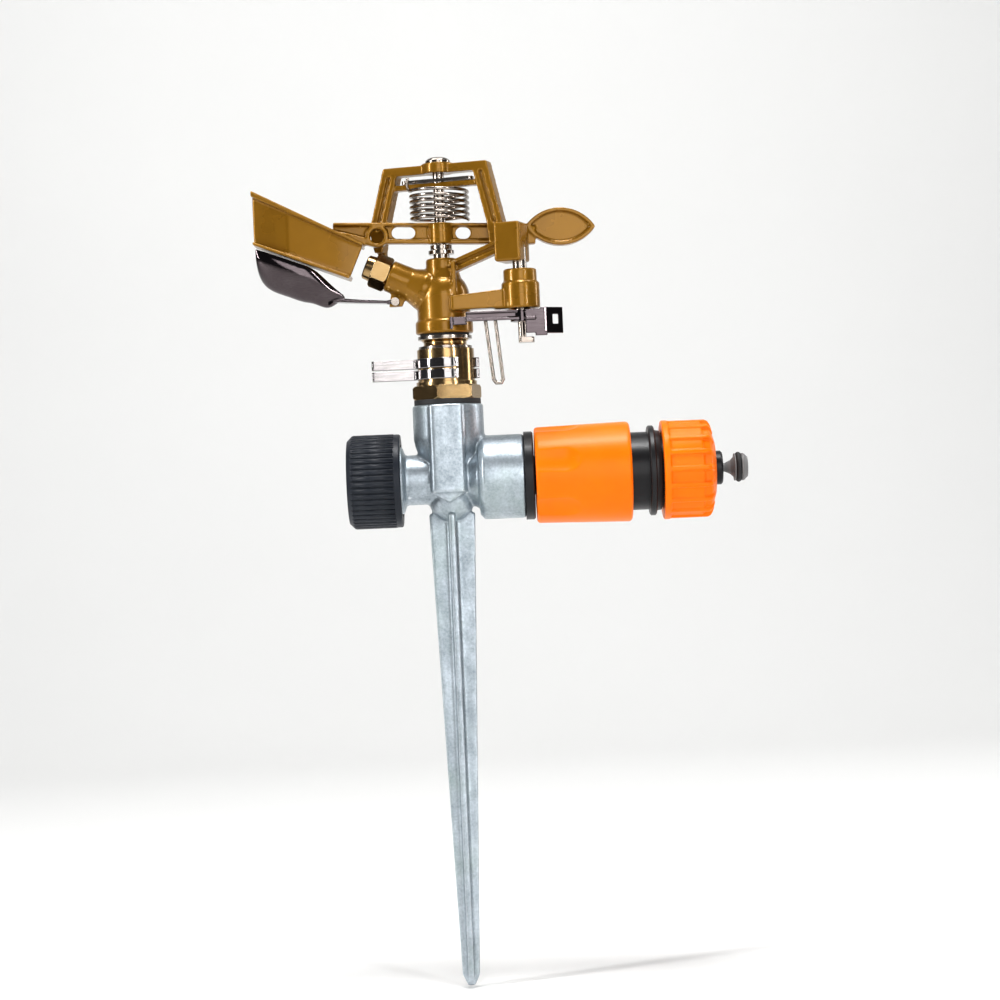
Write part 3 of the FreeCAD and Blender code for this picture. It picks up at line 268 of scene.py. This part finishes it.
goldPaintLook = {
    # painted shade for the hollows
    "paintedShade": (0.05, 0.018, 0.003),
    "paint": (0.205, 0.098, 0.006),
    "paler": (0.27, 0.135, 0.012),
    # painted highlight for the ridges
    "paintedRidgeHighlight": (0.62, 0.40, 0.14),
    "dust": (0.38, 0.30, 0.2),
    "lacquer": {"Metallic": 0.35, "Specular IOR Level": 0.2, "Coat Weight": 0.3, "Coat Roughness": 0.04,
                "Coat IOR": 1.5},
}


def makeGoldPaint():
    # glossy enamel, with painted shade in the hollows and a painted highlight on the ridges
    look = goldPaintLook
    material, tree, shader = startMaterial("bronze gold enamel", look["lacquer"])
    grain = useGroup(tree, fineGrain, {"Grain Scale": 900.0, "Drift Scale": 90.0})
    geometry = addNode(tree, "ShaderNodeNewGeometry")
    # painted shade: darker where the surface is hollow, found by pointiness
    paintedShadeMask = addNode(tree, "ShaderNodeMapRange", {"From Min": 0.40, "From Max": 0.488})
    # painted highlight: paler on the convex ridges, found by pointiness
    paintedHighlightMask = addNode(tree, "ShaderNodeMapRange", {"From Min": 0.54, "From Max": 0.62, "To Max": 0.75})
    wire(tree, geometry, "Pointiness", paintedShadeMask, "Value")
    wire(tree, geometry, "Pointiness", paintedHighlightMask, "Value")
    tone = mixColour(tree, grain, "Tone", look["paint"], look["paler"])
    shaded = mixColour(tree, paintedShadeMask, "Result", look["paintedShade"], tone)
    edged = mixColour(tree, paintedHighlightMask, "Result", shaded, look["paintedRidgeHighlight"])
    dust = useGroup(tree, dustFilm, {"Amount": 0.1})
    paintColour(tree, mixColour(tree, dust, "Mask", edged, look["dust"]), shader)
    roughnessFrom(tree, grain, "Tone", shader, 0.2, 0.36)
    bumpFrom(tree, grain, "Height", shader, 0.06, 0.0002)
    return material


zincLook = {
    "dull": (0.25, 0.29, 0.32),
    "bright": (0.57, 0.63, 0.68),
    "greenTint": (0.33, 0.42, 0.37),
    # painted highlight for the ridges
    "paintedRidgeHighlight": (0.80, 0.84, 0.87),
}


def makeZinc():
    # bare cast zinc: fine speckle over slow blotches, faint streaks down the length, and a painted highlight
    # on the ridges
    look = zincLook
    material, tree, shader = startMaterial("bare mottled zinc", {"Metallic": 0.78})
    speckle = useGroup(tree, fineGrain, {"Grain Scale": 1100.0, "Drift Scale": 150.0})
    streaks = useGroup(tree, scratches, {"Stretch": (1.0, 1.0, 0.06), "Scale": 700.0, "Threshold": 0.25})
    level = addNode(tree, "ShaderNodeMath", {1: 0.55}, operation="MULTIPLY_ADD")
    blotch = addNode(tree, "ShaderNodeMath", {1: 0.6}, operation="MULTIPLY")
    spread = addNode(tree, "ShaderNodeMapRange", {"From Min": 0.36, "From Max": 0.8})
    wire(tree, speckle, "Tone", blotch, 0)
    wire(tree, speckle, "Height", level, 0)
    wire(tree, blotch, "Value", level, 2)
    wire(tree, level, "Value", spread, "Value")
    metal = mixColour(tree, spread, "Result", look["dull"], look["bright"])
    streakLevel = addNode(tree, "ShaderNodeMath", {1: 0.4}, operation="MULTIPLY")
    wire(tree, streaks, "Mask", streakLevel, 0)
    streaked = mixColour(tree, streakLevel, "Value", metal, look["dull"])
    slow = useGroup(tree, fineGrain, {"Grain Scale": 500.0, "Drift Scale": 45.0})
    tint = addNode(tree, "ShaderNodeMapRange", {"From Min": 0.5, "From Max": 0.75, "To Max": 0.35})
    wire(tree, slow, "Tone", tint, "Value")
    tinted = mixColour(tree, tint, "Result", streaked, look["greenTint"])
    # painted highlight: paler on the convex ridges, found by pointiness
    geometry = addNode(tree, "ShaderNodeNewGeometry")
    paintedHighlightMask = addNode(tree, "ShaderNodeMapRange", {"From Min": 0.52, "From Max": 0.6, "To Max": 0.7})
    wire(tree, geometry, "Pointiness", paintedHighlightMask, "Value")
    paintColour(tree, mixColour(tree, paintedHighlightMask, "Result", tinted, look["paintedRidgeHighlight"]), shader)
    roughnessFrom(tree, spread, "Result", shader, 0.46, 0.3)
    bumpFrom(tree, speckle, "Height", shader, 0.3, 0.0002)
    return material


turned = (0.05, 0.05, 1.0)
rolled = (0.04, 1.0, 1.0)
metalLooks = {
    "brass": {"name": "polished brass", "dark": (0.30, 0.19, 0.08), "light": (0.50, 0.36, 0.19),
              "edge": (0.85, 0.74, 0.52), "rough": (0.14, 0.24), "lines": turned},
    "steel": {"name": "bright steel", "dark": (0.24, 0.20, 0.17), "light": (0.46, 0.42, 0.38),
              "edge": (0.86, 0.82, 0.76), "rough": (0.14, 0.26), "lines": turned},
    "chrome": {"name": "nickel plated sheet", "dark": (0.25, 0.235, 0.235), "light": (0.42, 0.40, 0.395),
               "edge": (0.84, 0.83, 0.81), "rough": (0.05, 0.12), "lines": rolled},
}
# painted shade: a darkened copy of the nickel plated sheet, for the scoop and the trip parts
shadedNickelPlateLook = {"name": "nickel plate darkened as painted shade", "dark": (0.07, 0.056, 0.06), "light": (0.13, 0.112, 0.116),
                 "edge": (0.74, 0.72, 0.70), "rough": (0.05, 0.12), "lines": rolled}


def makeMetal(look):
    # machined or rolled metal: fine lines one way, tone drift and brighter edges
    material, tree, shader = startMaterial(look["name"], {"Metallic": 1.0})
    drift = useGroup(tree, fineGrain, {"Grain Scale": 2400.0, "Drift Scale": 150.0})
    lines = useGroup(tree, scratches, {"Stretch": look["lines"], "Scale": 5200.0, "Threshold": 0.42})
    edges = useGroup(tree, wornEdges, {"Radius": 0.00022, "Reach": 5.0, "Patch Scale": 900.0})
    metal = mixColour(tree, drift, "Tone", look["dark"], look["light"])
    lined = mixColour(tree, lines, "Mask", metal, look["dark"])
    paintColour(tree, mixColour(tree, edges, "Mask", lined, look["edge"]), shader)
    roughnessFrom(tree, drift, "Tone", shader, *look["rough"])
    bumpFrom(tree, lines, "Mask", shader, 0.12, 0.00005, edges)
    return material


plasticDust = (0.45, 0.43, 0.4)
plasticLooks = {
    "black_rubber": {"name": "black rubber", "shade": (0.012, 0.012, 0.013), "paler": (0.03, 0.03, 0.031),
                     "scuff": (0.09, 0.09, 0.09), "rough": (0.55, 0.75), "grain": 3000.0, "dusty": 0.08},
    "cap_plastic": {"name": "blue black moulding", "shade": (0.008, 0.011, 0.017),
                    "paler": (0.018, 0.022, 0.031), "scuff": (0.06, 0.075, 0.09), "rough": (0.36, 0.48),
                    "grain": 2600.0, "dusty": 0.05, "fixed": {"Specular IOR Level": 0.35}},
    "black_plastic": {"name": "black moulding", "shade": (0.008, 0.008, 0.009), "paler": (0.018, 0.018, 0.02),
                      "scuff": (0.06, 0.06, 0.062), "rough": (0.28, 0.42), "grain": 2200.0, "dusty": 0.03,
                      "fixed": {"Specular IOR Level": 0.3}},
    "orange_plastic": {"name": "bright orange moulding", "shade": (0.93, 0.155, 0.0003),
                       "paler": (1.0, 0.215, 0.001), "scuff": (1.0, 0.34, 0.03), "rough": (0.3, 0.4),
                       "grain": 1600.0, "dusty": 0.02,
                       "fixed": {"Specular IOR Level": 0.2, "Subsurface Weight": 0.08,
                                 "Subsurface Scale": 0.002, "Subsurface Radius": (1.0, 0.35, 0.1)}},
    "grey_plastic": {"name": "grey moulding", "shade": (0.12, 0.115, 0.115), "paler": (0.2, 0.195, 0.195),
                     "scuff": (0.34, 0.34, 0.34), "rough": (0.4, 0.55), "grain": 2200.0, "dusty": 0.08},
    "white_plastic": {"name": "natural nylon", "shade": (0.62, 0.60, 0.54), "paler": (0.74, 0.72, 0.66),
                      "scuff": (0.85, 0.84, 0.8), "rough": (0.35, 0.5), "grain": 1800.0, "dusty": 0.05},
}


def makePlastic(look):
    # moulded plastic: fine mould texture, uneven gloss and scuffed corners
    material, tree, shader = startMaterial(look["name"], look.get("fixed", {}))
    grain = useGroup(tree, fineGrain, {"Grain Scale": look["grain"], "Drift Scale": 60.0})
    edges = useGroup(tree, wornEdges, {"Radius": 0.0004, "Reach": 1.6, "Patch Scale": 350.0})
    marks = useGroup(tree, scratches, {"Stretch": (0.08, 1.0, 1.0), "Scale": 2600.0, "Threshold": 0.74})
    dust = useGroup(tree, dustFilm, {"Amount": look["dusty"]})
    body = mixColour(tree, grain, "Tone", look["shade"], look["paler"])
    edged = mixColour(tree, edges, "Mask", body, look["scuff"])
    scored = mixColour(tree, marks, "Mask", edged, look["scuff"])
    paintColour(tree, mixColour(tree, dust, "Mask", scored, plasticDust), shader)
    roughnessFrom(tree, grain, "Tone", shader, *look["rough"])
    bumpFrom(tree, grain, "Height", shader, 0.1, 0.0001, edges)
    return material


materials = {"gold_paint": makeGoldPaint(), "zinc": makeZinc()}
materials.update({slotName: makeMetal(look) for slotName, look in metalLooks.items()})
materials.update({slotName: makePlastic(look) for slotName, look in plasticLooks.items()})
shadedNickelPlate = makeMetal(shadedNickelPlateLook)
slotOfNode = {row["node"]: row["material_slot"] for row in frame["record"]["subparts"]}
for nodeName, part in frame["nodes"].items():
    finish = materials[slotOfNode[nodeName]]
    if not part.material_slots:
        part.data.materials.append(finish)
    for materialSlot in part.material_slots:
        materialSlot.material = finish
print("materials:", len(materials))


# mesh helpers

def freeze(piece):
    # replace the object's mesh by what its modifiers make
    evaluated = piece.evaluated_get(bpy.context.evaluated_depsgraph_get())
    finished = bpy.data.meshes.new_from_object(evaluated)
    before = piece.data
    piece.modifiers.clear()
    piece.data = finished
    bpy.data.meshes.remove(before)
    finished.name = piece.name
    return piece


def newPiece(name, mesh):
    piece = bpy.data.objects.new(name, mesh)
    scene.collection.objects.link(piece)
    return piece


def handOver(piece, nodeName, finish=None):
    # the piece stands for the CAD node, on the node's body and with its slot's finish
    slotName = slotOfNode[nodeName]
    piece.data.materials.clear()
    piece.data.materials.append(finish or materials[slotName])
    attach(piece, frame["nodes"][nodeName]["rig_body"])
    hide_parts(nodeName)
    return piece


def countTriangles(piece):
    return sum(len(polygon.vertices) - 2 for polygon in piece.data.polygons)


# castings, mouldings and pressings with the soft edges that the plain parts don't have

skins = [
    {"node": "head_casting", "name": "headCasting", "voxel": 0.36, "soften": 5},
    {"node": "impact_arm", "name": "impactArm", "voxel": 0.32, "soften": 5},
    {"node": "spike_base", "name": "spikeAndTee", "voxel": 0.49, "soften": 4},
    {"node": "connector_sleeve", "name": "connectorSleeve", "voxel": 0.36, "soften": 6},
    {"node": "collet_nut", "name": "hoseNut", "voxel": 0.28, "soften": 4},
    # the scoop and the trip parts take the darkened nickel plate copy, which is painted shade
    {"node": "deflector", "name": "jetScoop", "voxel": 0.22, "soften": 4, "finish": shadedNickelPlate},
    {"node": "trip_lever", "name": "tripLever", "voxel": 0.16, "soften": 3, "finish": shadedNickelPlate},
    {"node": "trip_bracket", "name": "tripBracket", "voxel": 0.14, "soften": 3, "finish": shadedNickelPlate},
    {"node": "lower_collar", "name": "lowerStopCollar", "voxel": 0.2, "soften": 3},
    {"node": "upper_collar", "name": "upperStopCollar", "voxel": 0.2, "soften": 3},
]


weldDistance = 0.002 * mm
softenFactor = 0.5


def reskin(settings):
    # one closed skin over the CAD part, with its sharp corners rounded off by smoothing
    source = frame["nodes"][settings["node"]]
    shell = bmesh.new()
    shell.from_mesh(source.data)
    bmesh.ops.remove_doubles(shell, verts=shell.verts, dist=weldDistance)
    mesh = bpy.data.meshes.new(settings["name"])
    shell.to_mesh(mesh)
    shell.free()
    piece = newPiece(settings["name"], mesh)
    skin = piece.modifiers.new("skin", "REMESH")
    skin.mode = "VOXEL"
    skin.voxel_size = settings["voxel"] * mm
    skin.use_smooth_shade = True
    soften = piece.modifiers.new("soften", "SMOOTH")
    soften.factor = softenFactor
    soften.iterations = settings["soften"]
    freeze(piece)
    return handOver(piece, settings["node"], settings.get("finish"))


for skinSettings in skins:
    skinPiece = reskin(skinSettings)
    print(skinPiece.name, countTriangles(skinPiece), "triangles")


# springs

wireSides = 12


def startBuild(name, inputs):
    # a Geometry Nodes tree that ends in a mesh with one finish
    return startGroup(name, [*inputs, ("Finish", "Material", None)], [("Geometry", "Geometry")],
                      "GeometryNodeTree")


def sweepWire(tree, source, path):
    # round wire along the path, with closed ends
    section = addNode(tree, "GeometryNodeCurvePrimitiveCircle", {"Resolution": wireSides})
    sweep = addNode(tree, "GeometryNodeCurveToMesh", {"Fill Caps": True})
    smooth = addNode(tree, "GeometryNodeSetShadeSmooth")
    wire(tree, source, "Wire Radius", section, "Radius")
    wire(tree, path, "Curve", sweep, "Curve")
    wire(tree, section, "Curve", sweep, "Profile Curve")
    wire(tree, sweep, "Mesh", smooth, "Geometry")
    return smooth


def endBuild(tree, source, result, shape, outName):
    real = addNode(tree, "GeometryNodeRealizeInstances")
    finish = addNode(tree, "GeometryNodeSetMaterial")
    wire(tree, shape, outName, real, "Geometry")
    wire(tree, real, "Geometry", finish, "Geometry")
    wire(tree, source, "Finish", finish, "Material")
    wire(tree, finish, "Geometry", result, "Geometry")


def buildSpringTree():
    tree, source, result = startBuild("wound spring", [
        ("Turns", "Float", 5.0), ("Mean Radius", "Float", 0.01), ("Height", "Float", 0.01),
        ("Wire Radius", "Float", 0.0006), ("Steps Per Turn", "Int", 48)])
    path = addNode(tree, "GeometryNodeCurveSpiral")
    for name in ("Start Radius", "End Radius"):
        wire(tree, source, "Mean Radius", path, name)
    wire(tree, source, "Turns", path, "Rotations")
    wire(tree, source, "Height", path, "Height")
    wire(tree, source, "Steps Per Turn", path, "Resolution")
    endBuild(tree, source, result, sweepWire(tree, source, path), "Geometry")
    return tree


def runTree(name, tree, values):
    # build with the tree's inputs set by identifier, and hand back a plain mesh object
    piece = newPiece(name, bpy.data.meshes.new(name))
    modifier = piece.modifiers.new("build", "NODES")
    modifier.node_group = tree
    for item in tree.interface.items_tree:
        if item.in_out == "INPUT" and item.name in values:
            modifier[item.identifier] = values[item.name]
    return freeze(piece)


springTree = buildSpringTree()
springs = {
    "arm_spring": {"name": "armSpring", "turns": 5.5, "wire": 1.2, "axis": "Z"},
    "bearing_spring": {"name": "bearingSpring", "turns": 4.5, "wire": 1.1, "axis": "Z"},
    "trip_spring": {"name": "tripSpring", "turns": 3.5, "wire": 0.9, "axis": "Z"},
    "sleeve_spring": {"name": "sleeveSpring", "turns": 5.5, "wire": 1.0, "axis": "X"},
}
for nodeName, spring in springs.items():
    low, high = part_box(nodeName)
    middle = (low + high) / 2
    wireRadius = spring["wire"] * mm / 2
    lengthwise = 2 if spring["axis"] == "Z" else 0
    span = high[lengthwise] - low[lengthwise] - 2 * wireRadius
    outside = (high.y - low.y) / 2
    made = runTree(spring["name"], springTree, {
        "Turns": spring["turns"], "Mean Radius": outside - wireRadius, "Height": span,
        "Wire Radius": wireRadius, "Finish": materials["steel"]})
    made.data.transform(Matrix.Translation((0, 0, -span / 2)))
    if spring["axis"] == "X":
        made.data.transform(Matrix.Rotation(math.pi / 2, 4, "Y"))
    made.data.transform(Matrix.Translation(middle))
    if nodeName == "arm_spring":
        # its lower end turns with the arm and its upper end stays with the head, so it is baked in place on
        # no body
        made.data.materials.clear()
        made.data.materials.append(materials["steel"])
        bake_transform(made)
        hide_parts(nodeName)
    else:
        handOver(made, nodeName)
    if nodeName == "sleeve_spring":
        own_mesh(made)
print("springs wound:", len(springs))


# the arm spring's upper end, led up past the ledge into the eye of the retainer bar

springHook = {"wire": 1.2, "rise": 4.4, "outward": 1.6, "forward": 3.4}


def buildHookTree():
    tree, source, result = startBuild("bent wire end", [
        ("Start", "Vector", None), ("Bend", "Vector", None), ("End", "Vector", None),
        ("Wire Radius", "Float", 0.0006)])
    path = addNode(tree, "GeometryNodeCurveQuadraticBezier", {"Resolution": 24})
    for inner, outer in (("Start", "Start"), ("Middle", "Bend"), ("End", "End")):
        wire(tree, source, outer, path, inner)
    endBuild(tree, source, result, sweepWire(tree, source, path), "Geometry")
    return tree


coilLow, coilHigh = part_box("arm_spring")
hookWire = springHook["wire"] * mm / 2
hookStart = Vector((coilLow.x + hookWire, 0, coilHigh.z - hookWire))
outward, forward, rise = springHook["outward"], springHook["forward"], springHook["rise"]
hookEnd = hookStart + Vector((-0.4 * outward, -forward, rise)) * mm
hookBend = hookStart + Vector((-outward, -forward, 0.1 * rise)) * mm
hook = runTree("armSpringHook", buildHookTree(), {
    "Start": hookStart, "Bend": hookBend, "End": hookEnd, "Wire Radius": hookWire,
    "Finish": materials["steel"]})
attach(hook, "head")
print("spring hook bent")


# ribs round the screw cap

capRibs = {"count": 48, "width": 2.2, "startInset": 2.2, "endInset": 2.4, "proud": 0.14}


def buildRibTree():
    tree, source, result = startBuild("rib row", [
        ("Count", "Int", 60), ("Ring Radius", "Float", 0.016), ("Rib Radius", "Float", 0.0004),
        ("Length", "Float", 0.015)])
    ring = addNode(tree, "GeometryNodeMeshCircle")
    rib = addNode(tree, "GeometryNodeMeshCylinder", {"Vertices": 10, "Side Segments": 1})
    smooth = addNode(tree, "GeometryNodeSetShadeSmooth")
    spots = addNode(tree, "GeometryNodeInstanceOnPoints")
    wire(tree, source, "Count", ring, "Vertices")
    wire(tree, source, "Ring Radius", ring, "Radius")
    wire(tree, source, "Rib Radius", rib, "Radius")
    wire(tree, source, "Length", rib, "Depth")
    wire(tree, ring, "Mesh", spots, "Points")
    wire(tree, rib, "Mesh", smooth, "Geometry")
    wire(tree, smooth, "Geometry", spots, "Instance")
    endBuild(tree, source, result, spots, "Instances")
    return tree


capLow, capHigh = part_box("end_cap")
capRadius = (capHigh.y - capLow.y) / 2
ribLength = capHigh.x - capLow.x - (capRibs["startInset"] + capRibs["endInset"]) * mm
ribs = runTree("capRibs", buildRibTree(), {
    "Count": capRibs["count"], "Ring Radius": capRadius - (capRibs["width"] / 2 - capRibs["proud"]) * mm,
    "Rib Radius": capRibs["width"] * mm / 2, "Length": ribLength, "Finish": materials["cap_plastic"]})
ribs.data.transform(Matrix.Rotation(math.pi / 2, 4, "Y"))
ribs.data.transform(Matrix.Rotation(math.pi / capRibs["count"], 4, "X"))
ribMiddle = capLow.x + capRibs["startInset"] * mm + ribLength / 2
ribs.data.transform(Matrix.Translation((ribMiddle, 0, hoseAxis.z)))
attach(ribs, "cap")
print("cap ribs:", capRibs["count"])


# floor and backdrop

studio = {
    "floorGap": 0.0008, "halfWidth": 1.6, "front": -1.6, "back": 0.75, "curve": 0.5, "height": 2.2,
    "steps": 16, "paper": (0.80, 0.80, 0.79), "palerPaper": (0.84, 0.84, 0.83),
}


def buildBackdrop():
    floorZ = cadLow.z - studio["floorGap"]
    profile = [(studio["front"], floorZ), (studio["back"], floorZ)]
    for i in range(1, studio["steps"] + 1):
        angle = math.pi / 2 * i / studio["steps"]
        profile.append((studio["back"] + studio["curve"] * math.sin(angle),
                        floorZ + studio["curve"] * (1 - math.cos(angle))))
    profile.append((studio["back"] + studio["curve"], floorZ + studio["height"]))
    half = studio["halfWidth"]
    vertices = [(x, y, z) for y, z in profile for x in (-half, half)]
    faces = [(2 * i, 2 * i + 1, 2 * i + 3, 2 * i + 2) for i in range(len(profile) - 1)]
    mesh = bpy.data.meshes.new("backdrop")
    mesh.from_pydata(vertices, [], faces)
    mesh.polygons.foreach_set("use_smooth", [True] * len(mesh.polygons))
    material, tree, shader = startMaterial("pale paper", {"Roughness": 0.7})
    grain = useGroup(tree, fineGrain, {"Grain Scale": 300.0, "Drift Scale": 3.0})
    paintColour(tree, mixColour(tree, grain, "Tone", studio["paper"], studio["palerPaper"]), shader)
    mesh.materials.append(material)
    return newPiece("backdrop", mesh)


buildBackdrop()
print("backdrop hung")


# lights and camera

lights = [
    {"name": "frontScreen", "place": (0.14, -1.15, 0.14), "size": (0.50, 0.9), "power": 4.2},
    {"name": "frontTube", "place": (0.62, -0.85, 0.20), "size": (0.035, 0.8), "power": 3.5},
    {"name": "leftTube", "place": (-0.85, -0.40, 0.35), "size": (0.07, 0.7), "power": 6.5},
    {"name": "rightRim", "place": (0.80, 0.25, 0.30), "size": (0.10, 0.7), "power": 2.0},
    {"name": "topBox", "place": (0.05, -0.15, 0.9), "size": (0.3, 0.2), "power": 6.0},
    {"name": "paperWash", "place": (0.0, 0.25, 1.1), "size": (1.6, 0.3), "power": 8.0,
     "aim": (0.0, 1.1, 0.0)},
]
aimPoint = (0, 0, 0.02)
for light in lights:
    lamp = bpy.data.lights.new(light["name"], "AREA")
    lamp.shape = "RECTANGLE"
    lamp.size, lamp.size_y = light["size"]
    lamp.energy = light["power"]
    holder = bpy.data.objects.new(light["name"], lamp)
    scene.collection.objects.link(holder)
    holder.location = light["place"]
    direction = Vector(light.get("aim", aimPoint)) - holder.location
    holder.rotation_euler = direction.to_track_quat("-Z", "Y").to_euler()

studioAir = {"Color": (0.93, 0.95, 1.0, 1.0), "Strength": 0.1}
world = bpy.data.worlds.new("studio air")
world.use_nodes = True
for inputName, value in studioAir.items():
    world.node_tree.nodes["Background"].inputs[inputName].default_value = value
scene.world = world
print("lights set:", len(lights))

view = {"lens": 85.0, "distance": 0.85, "roll": 2.4, "aimX": 0.01738, "aimZ": 0.00702,
        "look": "Medium High Contrast", "exposure": -0.12}
roll = math.radians(view["roll"])
cameraData = bpy.data.cameras.new("camera")
cameraData.lens = view["lens"]
cameraData.clip_start = 0.01
camera = bpy.data.objects.new("camera", cameraData)
scene.collection.objects.link(camera)
camera.matrix_world = Matrix((
    (math.cos(roll), math.sin(roll), 0, view["aimX"]),
    (0, 0, -1, -view["distance"]),
    (-math.sin(roll), math.cos(roll), 0, view["aimZ"]),
    (0, 0, 0, 1)))
scene.camera = camera
scene.view_settings.view_transform = "Standard"
scene.view_settings.look = view["look"]
scene.view_settings.exposure = view["exposure"]
print("camera set")
